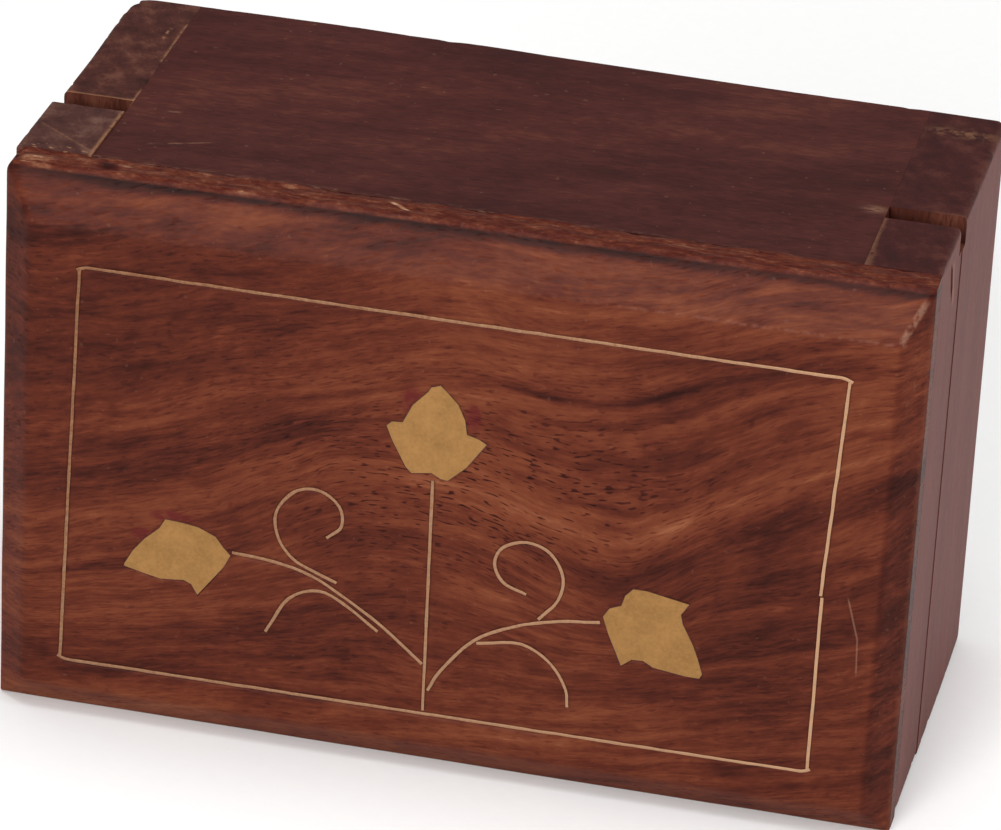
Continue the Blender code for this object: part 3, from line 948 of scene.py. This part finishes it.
def brass(name, colour, roughness, dull=None):
    """Handled brass. Where the dull colour is given, it shows towards the upper left."""
    metal = Finish(name)
    x, y, z = metal.x, metal.y, metal.z
    tarnish = metal.even_noise(0.5, 4.0, 0.65)
    scuffs = noise(x * 0.9 + z * 0.5, y, z * 9.0 - x * 4.0, 3.0, 0.6)
    grit = metal.even_noise(2.4, 2.0, 0.6)
    dark = tuple(channel * 0.6 for channel in colour)
    shade = mix((tarnish * 1.8 + grit * 1.3 - 1.15).clamped() * 0.65, colour, dark)
    if dull:
        bright = 0.5 + x * 0.0065 - (z - 30.0) * 0.006 + x.step(30.0, 46.0) * 0.25
        bright = bright + (tarnish - 0.5) * 0.8 + (grit - 0.5) * 1.1
        shade = mix(bright.clamped(), dull, shade)
    metal.set("Metallic", 1.0)
    metal.relief(scuffs * 0.5 + tarnish, 0.05 * MM, 0.4)
    return metal.made(shade, roughness + scuffs * 0.16 + tarnish * 0.12)


def lac():
    filler = Finish("red_lac")
    lumps = filler.even_noise(0.8, 3.0, 0.6)
    filler.relief(lumps, 0.08 * MM, 0.7)
    return filler.made(ramp(lumps, LAC_SHADES), 0.45 + lumps * 0.3, 0.3)


def runner_wood():
    wood = Wood("runner_wood", lambda w: (w.z, w.x, w.y), RUNNER_SHADES, shift=9.1)
    wood.feel(0.05 * MM, 0.5)
    return wood.made(wood.colour(wood.tone), 0.62 + wood.fibres * 0.2)


def steel():
    metal = Finish("brad_steel")
    spots = metal.even_noise(2.2, 4.0, 0.7)
    metal.set("Metallic", 0.9)
    metal.relief(spots, 0.04 * MM, 0.5)
    return metal.made(ramp(spots, STEEL_SHADES), 0.35 + spots * 0.35)


def floor_paper():
    paper = Finish("pale_floor")
    tooth = noise(paper.x * 0.5, paper.y * 0.5, paper.z, 3.0, 0.6)
    return paper.made(ramp(tooth, PAPER_SHADES), 0.9, 0.1)


# Pieces


def paint(obj, material):
    obj.data.materials.clear()
    obj.data.materials.append(material)


def attach(obj, body, node):
    """Let a piece ride on a body and stand for one of its CAD nodes."""
    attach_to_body(obj, body)
    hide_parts(node)


def panel_shape():
    """The panel's points and quads: a slab whose front stands out of a bevel, widest on top."""
    low, high = np.array(PANEL_LOW), np.array(PANEL_HIGH)
    low[2] -= PANEL_LOWER
    base = low + (0.0, BEVEL_DEPTH, 0.0)
    points, quads = box_shell(base, high, (0.5, 0.9, 0.7))
    inset = np.column_stack([
        (points[:, 0] - low[0]) / BEVEL_LEFT,
        (high[0] - points[:, 0]) / BEVEL_RIGHT,
        (high[2] - points[:, 2]) / BEVEL_TOP,
        (points[:, 2] - low[2]) / BEVEL_BOTTOM,
        np.ones(len(points)),
    ])
    rise = -BEVEL_SOFT * np.log(np.exp(-inset / BEVEL_SOFT).sum(axis=1))
    on_front = points[:, 1] < base[1] + 0.01 * MM
    radius = PANEL_ROUND * (1.0 + 0.4 * value_noise(points, 8, 11))
    radius[points[:, 1] > base[1] + MM] = SEAM_ROUND
    shaped = eased(points, base, high, radius)
    shaped[on_front, 1] -= np.clip(rise[on_front], 0.0, 1.0) * BEVEL_DEPTH
    shaped[:, 1] += on_front * FACE_WAVE * (value_noise(points, 11, 12) + 0.6)
    near_top = np.clip(1.0 - (high[2] - points[:, 2]) / TORN_REACH, 0.0, 1.0)
    torn = value_noise(points, (3.5, 0.7, 2), 13)
    torn += 0.6 * value_noise(points, (1.2, 0.4, 2), 14)
    shaped[:, 2] -= near_top * TORN_DEPTH * np.clip(torn + 0.4, 0.0, None)
    top_left = np.array([low[0], high[2]])
    round_corner(shaped, [0, 2], top_left, np.array([1.0, -1.0]), PANEL_CORNER)
    return rounded_corners(shaped), quads


def hooked(path, way):
    """A long border wire, its ends bent round into the upright ones."""
    gap = np.minimum(path[:, 0] - path[:, 0].min(), path[:, 0].max() - path[:, 0])
    bent = path.copy()
    bent[:, 1] += way * HOOK_BEND * np.clip(1.0 - gap / HOOK_REACH, 0.0, 1.0) ** 2
    return bent


def front_panel_and_inlay(panel_finish, wire_finish, lac_finish):
    """The panel with its recesses, the wires laid in them, and the lac round the leaves."""
    front = PANEL_LOW.y
    obj = object_from_quads("front_panel", *panel_shape())
    cutters = []
    for seed, node in enumerate(INLAY):
        if node in LEAVES:
            cutters.append(welded_copy(node, LEAF_GAP, front - MM))
        else:
            run_on = BRANCH_RUN_ON if node.startswith(BRANCHES) else BORDER_RUN_ON
            path = resampled(centreline(node), run_on)
            if node in ("border_top", "border_bottom"):
                path = hooked(path, -1.0 if node == "border_top" else 1.0)
            place = np.column_stack([path, path[:, :1]])
            sway = [value_noise(place, 2.5, seed + shift) for shift in (100, 200)]
            path += WIRE_SWAY * np.column_stack(sway)
            place = np.column_stack([path, path[:, :1]])
            swell = value_noise(place, 1.7, seed + 300)
            half = WIRE_WIDTH / 2 * (1.0 + 0.14 * swell)
            wire = ribbon(f"wire_{node}", path, half, front - WIRE_CROWN, front, front + WIRE_DEPTH)
            wire.data.shade_smooth()
            wire.data.set_sharp_from_angle(angle=WIRE_SHARP_EDGE)
            paint(wire, wire_finish)
            attach(wire, "lid", node)
            cutters.append(ribbon(f"cut_{node}", path, half + WIRE_GAP, front - MM, front - MM,
                                  front + WIRE_DEPTH + WIRE_GAP))
        cut(obj, cutters[-1])
    paint(settled(obj, cutters), panel_finish)
    attach(obj, "lid", "lid_panel")
    lac_filling(front + LAC_LOW, lac_finish)


def lac_filling(level, material):
    """The lac between the leaves and the wood: each recess's shape less the brass that lies in it."""
    parts = []
    for node in LEAVES:
        filling = welded_copy(node, LEAF_GAP - HAIRLINE, level)
        metal = welded_copy(node, HAIRLINE / 2, level - MM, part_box(node)[1].y + MM)
        cut(filling, metal)
        parts.append(settled(filling, [metal]))
    with bpy.context.temp_override(active_object=parts[0], selected_editable_objects=parts):
        bpy.ops.object.join()
    parts[0].name = "inlay_lac"
    paint(parts[0], material)
    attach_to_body(parts[0], "lid")


def split_plane(word):
    """Where the batten and the end board meet, along Y."""
    return (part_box(f"lid_batten_{word}")[1].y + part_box(f"end_board_{word}")[0].y) / 2


def mouth_cutter(side, word):
    """The notch at the top of a joint, cut right through the end of the box."""
    board_low, board_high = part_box(f"end_board_{word}")
    split, top = split_plane(word), PANEL_HIGH.z
    inner = (board_high.x if side < 0 else board_low.x) - side * 2 * HAIRLINE
    outer = (board_low.x if side < 0 else board_high.x) + side * MOUTH_PAST_SIDE
    return rough_block(
        f"mouth_{word}",
        (min(inner, outer), split - MOUTH_WIDTH / 2, top - MOUTH_DEPTH),
        (max(inner, outer), split + MOUTH_WIDTH / 2, top + MOUTH_PAST_TOP),
        seed=40 + side,
    )


def runner_cutters(word):
    """The dovetail groove in an end board, and the runner's housing in the batten."""
    split, top = split_plane(word), PANEL_HIGH.z
    low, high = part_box(f"lid_runner_{word}")
    middle = (low.x + high.x) / 2
    neck = RUNNER_NECK / 2 + RUNNER_CLEARANCE
    tail = RUNNER_TAIL / 2 + RUNNER_CLEARANCE
    grooved = [(neck, -MM), (neck, 0.0), (tail, RUNNER_REACH + RUNNER_CLEARANCE)]
    housed = [(neck, -RUNNER_HOUSED), (neck, MM)]
    cutters = []
    for name, half, above in (
        ("groove", grooved, top - GROOVE_TOP),
        ("housing", housed, top - MOUTH_DEPTH + RUNNER_CLEARANCE),
    ):
        outline = [(middle + x, split + y) for x, y in half]
        outline += [(middle - x, split + y) for x, y in reversed(half)]
        cutters.append(prism(f"{name}_{word}", outline, low.z - RUNNER_CLEARANCE, above))
    return cutters


def raised_corner(points):
    """The case's top has warped up a little towards its left rear corner."""
    low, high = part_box("end_board_left")[0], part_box("end_board_right")[1]
    back = np.clip((points[:, 1] - low.y) / (high.y - low.y), 0.0, 1.0)
    left = np.clip((high.x - points[:, 0]) / (high.x - low.x) * 1.35 - 0.1, 0.0, 1.0)
    height = np.clip((points[:, 2] - high.z / 2) / (high.z / 2), 0.0, 1.0)
    raised = points.copy()
    back, left = (share * share * (3 - 2 * share) for share in (back, left))
    raised[:, 2] += CORNER_RAISED * back * left * height
    return raised


def battens_and_end_boards(raw):
    finishes = {
        "left": (
            upright_wood("batten_left_wood", "lid_batten_left", 1.3, END_GREY, batten_left_marks),
            upright_wood("end_left_wood", "end_board_left", 7.7, END_BROWN, end_left_marks),
        ),
        "right": (
            upright_wood("batten_right_wood", "lid_batten_right", 5.9, END_DARK, batten_right_marks),
            upright_wood("end_right_wood", "end_board_right", 2.2, END_DARK, end_right_marks),
        ),
    }
    for side, word in ((-1, "left"), (1, "right")):
        mouth, (groove, housing) = mouth_cutter(side, word), runner_cutters(word)
        for cutter in (mouth, groove, housing):
            cutter.data.materials.append(raw)
        batten_finish, end_finish = finishes[word]
        cracks = [crack_cutter()] if word == "right" else []
        low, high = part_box(f"lid_batten_{word}")
        low.y = PANEL_HIGH.y + HAIRLINE
        high.y = split_plane(word) - SPLIT_GAP
        if word == "left":
            high.x -= SLIDE_GAP
        else:
            low.x += SLIDE_GAP
        batten = worn_board(f"batten_{word}", "lid", low, high, (0.6, 0.6, 0.9))
        finish_cut_board(batten, batten_finish, [mouth, housing, *cracks], cracks)
        low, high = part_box(f"end_board_{word}")
        low.y = split_plane(word) + SPLIT_GAP
        end = worn_board(f"end_{word}", "case", low, high, (0.6, 0.7, 0.9))
        finish_cut_board(end, end_finish, [mouth, groove, REBATE_CUTTER], [mouth, groove, housing])
        attach(batten, "lid", f"lid_batten_{word}")
        attach(end, "case", f"end_board_{word}")


def finish_cut_board(board, finish, cutters, used_up):
    """Cut a board, whose cuts keep their own raw material, and drop the cutters that are used up."""
    board.data.materials.append(finish)
    for cutter in cutters:
        cut(board, cutter)
    settled(board, used_up)


def crack_cutter():
    """A short open crack in the right batten's outer face, leaning back as it falls."""
    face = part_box("lid_batten_right")[1].x
    rings = []
    for y, z, half in CRACK:
        rings.append([
            (face + CRACK_PAST, (y - half) * MM, z * MM),
            (face + CRACK_PAST, (y + half) * MM, z * MM),
            (face - CRACK_DEPTH, (y + CRACK_LEAN) * MM, z * MM),
        ])
    return loft("crack", rings)


def side_boards(material):
    for word in ("top", "bottom"):
        low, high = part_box(f"{word}_board")
        low.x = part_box("end_board_left")[1].x + HAIRLINE
        high.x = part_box("end_board_right")[0].x - HAIRLINE
        low.y = PANEL_HIGH.y + 2 * SLIDE_GAP
        obj = worn_board(f"{word}_side", "case", low, high, (0.7, 0.8, 0.8))
        cut(obj, REBATE_CUTTER)
        paint(settled(obj), material)
        attach(obj, "case", f"{word}_board")


def rebate_cutter():
    """The room that the back panel takes out of the four boards round it."""
    low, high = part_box("back_panel")
    return prism(
        "back_rebate",
        [(low.x - HAIRLINE, low.y - HAIRLINE), (high.x + HAIRLINE, low.y - HAIRLINE),
         (high.x + HAIRLINE, high.y + REBATE_PAST_BACK),
         (low.x - HAIRLINE, high.y + REBATE_PAST_BACK)],
        low.z - HAIRLINE,
        high.z + HAIRLINE,
    )


def back_board(material):
    low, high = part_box("back_panel")
    obj = worn_board("back_board", "case", low, high, (0.9, 0.8, 0.9))
    paint(settled(obj), material)
    attach(obj, "case", "back_panel")


def finish_cad_nodes():
    """Give the leaves, the runners and the brads better materials."""
    sheet = brass("brass_sheet", SHEET_BRASS, 0.40)
    finishes = {"leaf": sheet, "runner": runner_wood(), "brad": steel()}
    for name, node in NODES.items():
        for word, finish in finishes.items():
            if word in name:
                paint(node, finish)


# Setting


def studio():
    bpy.ops.mesh.primitive_grid_add(x_subdivisions=8, y_subdivisions=8, size=FLOOR_SIZE)
    floor = bpy.context.object
    floor.name = "floor"
    floor.location.z = CAD_BOX[0].z - FLOOR_GAP
    floor.data.materials.append(floor_paper())
    world = bpy.data.worlds.new("studio")
    bpy.context.scene.world = world
    world.use_nodes = True
    background = world.node_tree.nodes["Background"]
    background.inputs["Color"].default_value = SKY_COLOUR
    background.inputs["Strength"].default_value = SKY_STRENGTH
    for name, place, size, power in LIGHTS:
        light = bpy.data.lights.new(name, "AREA")
        light.shape = "DISK"
        light.size = size
        light.energy = power
        lamp = new_object(name, light)
        lamp.location = place
        lamp.rotation_euler = (CENTRE - Vector(place)).to_track_quat("-Z", "Y").to_euler()


def camera():
    azimuth, elevation = CAMERA_AZIMUTH, CAMERA_ELEVATION
    forward = Vector((
        -math.sin(azimuth) * math.cos(elevation),
        math.cos(azimuth) * math.cos(elevation),
        -math.sin(elevation),
    ))
    level = forward.cross(Vector((0.0, 0.0, 1.0))).normalized()
    upright = level.cross(forward)
    up = upright * math.cos(CAMERA_ROLL) + level * math.sin(CAMERA_ROLL)
    right = forward.cross(up)
    data = bpy.data.cameras.new("camera")
    data.lens = LENS
    data.sensor_width = SENSOR
    data.clip_start = 0.01
    data.clip_end = 20.0
    obj = new_object("camera", data)
    place = CENTRE - forward * CAMERA_DISTANCE + right * CAMERA_RIGHT - up * CAMERA_DOWN
    obj.matrix_world = Matrix.Translation(place) @ Matrix((right, up, -forward)).transposed().to_4x4()
    bpy.context.scene.camera = obj
    bpy.context.scene.view_settings.view_transform = "Standard"


# Everything else that reaches the panel's face lies in it
AT_FRONT = sorted(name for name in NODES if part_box(name)[0].y < PANEL_LOW.y + 0.2 * MM)
INLAY = [name for name in AT_FRONT if name != "lid_panel"]
LEAVES = [name for name in INLAY if name.endswith("leaf")]
REBATE_CUTTER = rebate_cutter()

WIRE_FINISH = brass("brass_wire", WIRE_BRASS, 0.36, WIRE_TARNISHED)
front_panel_and_inlay(panel_wood(), WIRE_FINISH, lac())
battens_and_end_boards(raw_wood())
CASE_WOOD = case_wood()
side_boards(CASE_WOOD)
back_board(CASE_WOOD)
bpy.data.objects.remove(REBATE_CUTTER, do_unlink=True)
finish_cad_nodes()
studio()
camera()
